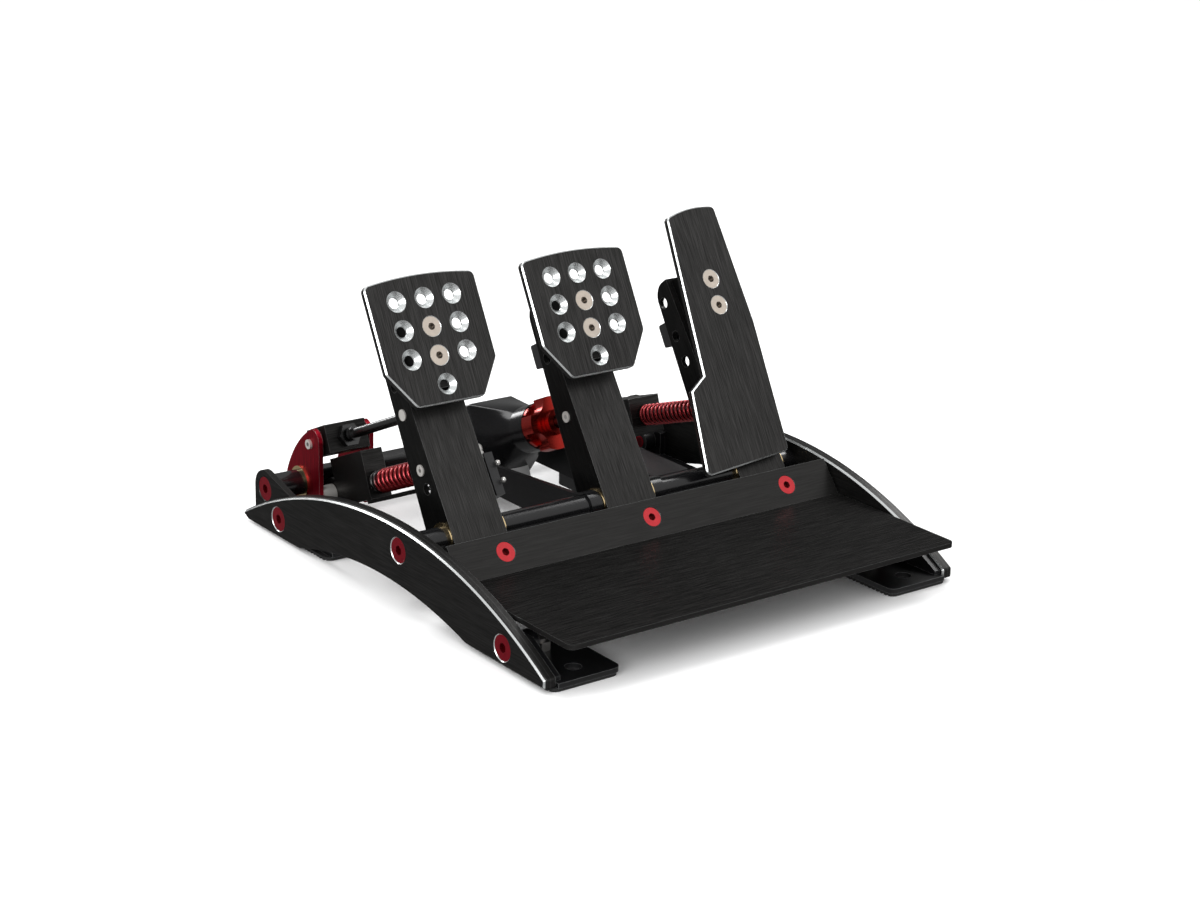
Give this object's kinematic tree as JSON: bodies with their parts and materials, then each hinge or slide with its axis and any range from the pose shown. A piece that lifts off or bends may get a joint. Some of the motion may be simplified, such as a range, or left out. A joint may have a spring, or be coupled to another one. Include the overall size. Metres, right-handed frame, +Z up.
{
  "type": "sim racing pedal set",
  "caption": "Pedal set for a driving simulator: clutch, brake and throttle arms hinged between arched side plates, with spring linkages, a bent heel rest and padded feet.",
  "frame": {"origin": "on the floor under the middle of the set's bounding box", "axes": "+X to the driver's right, +Y away from the driver, towards the rear cross tube, +Z up"},
  "size_m": [0.2974, 0.3274, 0.1874],
  "materials": {
    "black_anodised": "brushed, black anodised",
    "black_coated": "glossy black coat",
    "red_anodised": "red anodised, satin",
    "red_spring": "red coated spring wire",
    "red_screw": "red anodised",
    "bright_steel": "bright plated steel",
    "dark_steel": "dark satin steel",
    "bare_aluminium": "bare, fine milled",
    "brass": "plain turned",
    "rubber": "matte black, ribbed underneath",
    "foam": "matte black elastomer",
    "black_plastic": "satin moulded"
  },
  "bodies": {
    "base": {"outer_plate_left": "black_anodised", "outer_plate_right": "black_anodised", "inner_plate_left": "black_anodised", "inner_plate_right": "black_anodised", "side_screws": "red_screw", "inner_plate_screws": "red_screw", "front_pivot_tube": "black_coated", "rear_cross_tube": "black_coated", "heel_rest": "black_anodised", "kick_rail": "black_anodised", "kick_screws": "red_screw", "front_foot_left": "black_coated", "front_foot_right": "black_coated", "rear_foot_left": "black_coated", "rear_foot_right": "black_coated", "front_pads": "rubber", "rear_pads": "rubber", "pad_nuts": "bright_steel", "brake_rail_left": "black_coated", "brake_rail_right": "black_coated", "brake_spacers": "black_coated", "electronics_box": "black_plastic"},
    "clutch_pedal": {"clutch_arm": "black_anodised", "clutch_wedge": "black_anodised", "clutch_plate": "black_anodised", "clutch_plate_screws": "bright_steel", "clutch_bushes": "brass", "clutch_pins": "bright_steel", "clutch_sensor": "black_plastic"},
    "clutch_crank": {"clutch_crank_plates": "red_anodised", "clutch_crank_bushes": "brass", "clutch_crank_pins": "bright_steel"},
    "clutch_push_rod": {"clutch_rod": "dark_steel", "clutch_rod_block": "black_anodised", "clutch_rod_nut": "bright_steel"},
    "clutch_block": {"clutch_spring_block": "black_anodised", "clutch_spring": "red_spring"},
    "clutch_guide": {"clutch_spring_guide": "dark_steel"},
    "brake_pedal": {"brake_arm": "black_anodised", "brake_wedge": "black_anodised", "brake_plate": "black_anodised", "brake_plate_screws": "bright_steel", "brake_bushes": "brass", "brake_pin": "bright_steel", "brake_motor": "black_plastic"},
    "brake_cylinder": {"brake_housing": "black_coated", "brake_load_cell": "bare_aluminium", "brake_foams": "foam"},
    "brake_plunger": {"brake_piston": "dark_steel"},
    "brake_preload_knob": {"brake_knob": "red_anodised"},
    "throttle_pedal": {"throttle_arm": "black_anodised", "throttle_wedge": "black_anodised", "throttle_plate": "black_anodised", "throttle_plate_screws": "bright_steel", "throttle_bushes": "brass", "throttle_pin": "bright_steel", "throttle_motor": "black_plastic"},
    "throttle_block": {"throttle_spring_block": "black_anodised", "throttle_spring": "red_spring"},
    "throttle_guide": {"throttle_spring_guide": "dark_steel"}
  },
  "joints": [
    {"name": "clutch_press", "type": "hinge", "parent": "base", "child": "clutch_pedal", "pos_m": [-0.1, -0.0125, 0.0357], "axis": [-1, 0, 0], "range_deg": [0, 16], "stiffness_Nm_per_rad": 25, "springref_deg": -2.29, "deforming": ["clutch_spring"]},
    {"name": "clutch_crank_turn", "type": "hinge", "parent": "base", "child": "clutch_crank", "pos_m": [-0.1, 0.1445, 0.025], "axis": [-1, 0, 0], "range_deg": [0, 43.1]},
    {"name": "clutch_rod_turn", "type": "hinge", "parent": "clutch_crank", "child": "clutch_push_rod", "pos_m": [-0.1, 0.1327, 0.0527], "axis": [-1, 0, 0], "range_deg": [-51.8, 0]},
    {"name": "clutch_block_turn", "type": "hinge", "parent": "clutch_crank", "child": "clutch_block", "pos_m": [-0.1, 0.126, 0.0208], "axis": [-1, 0, 0], "range_deg": [-51.6, 0]},
    {"name": "clutch_guide_turn", "type": "hinge", "parent": "clutch_pedal", "child": "clutch_guide", "pos_m": [-0.1, 0.0111, 0.07068], "axis": [-1, 0, 0], "range_deg": [-24.6, 0]},
    {"name": "brake_press", "type": "hinge", "parent": "base", "child": "brake_pedal", "pos_m": [0.0085, -0.0125, 0.0357], "axis": [-1, 0, 0], "range_deg": [0, 8], "stiffness_Nm_per_rad": 150, "springref_deg": -0.57},
    {"name": "brake_cylinder_turn", "type": "hinge", "parent": "base", "child": "brake_cylinder", "pos_m": [0.0085, 0.1445, 0.025], "axis": [-1, 0, 0], "range_deg": [-0.8, 0]},
    {"name": "brake_plunger_slide", "type": "slide", "parent": "brake_cylinder", "child": "brake_plunger", "axis": [0, 0.9107, -0.4131], "range_m": [0, 0.0077], "deforming": ["brake_foams"]},
    {"name": "brake_knob_turn", "type": "hinge", "parent": "brake_cylinder", "child": "brake_preload_knob", "pos_m": [0.0085, 0.06254, 0.06218], "axis": [0, -0.9107, 0.4131], "continuous": true},
    {"name": "throttle_press", "type": "hinge", "parent": "base", "child": "throttle_pedal", "pos_m": [0.1105, -0.0125, 0.0357], "axis": [-1, 0, 0], "range_deg": [0, 16], "stiffness_Nm_per_rad": 14, "springref_deg": -2.86, "deforming": ["throttle_spring"]},
    {"name": "throttle_block_turn", "type": "hinge", "parent": "base", "child": "throttle_block", "pos_m": [0.1105, 0.1445, 0.025], "axis": [-1, 0, 0], "range_deg": [-2.2, 0]},
    {"name": "throttle_guide_turn", "type": "hinge", "parent": "throttle_pedal", "child": "throttle_guide", "pos_m": [0.1105, 0.01266, 0.06958], "axis": [-1, 0, 0], "range_deg": [-18.3, 0]}
  ],
  "couplings": [
    {"joint": "clutch_crank_turn", "follows": "clutch_press", "ratio": 2.6844},
    {"joint": "clutch_rod_turn", "follows": "clutch_press", "ratio": -3.2248},
    {"joint": "clutch_block_turn", "follows": "clutch_press", "ratio": -3.2106},
    {"joint": "clutch_guide_turn", "follows": "clutch_press", "ratio": -1.5255},
    {"joint": "brake_cylinder_turn", "follows": "brake_press", "ratio": -0.0948},
    {"joint": "brake_plunger_slide", "follows": "brake_press", "m_per_rad": 0.05437},
    {"joint": "throttle_block_turn", "follows": "throttle_press", "ratio": -0.1343},
    {"joint": "throttle_guide_turn", "follows": "throttle_press", "ratio": -1.1342}
  ]
}
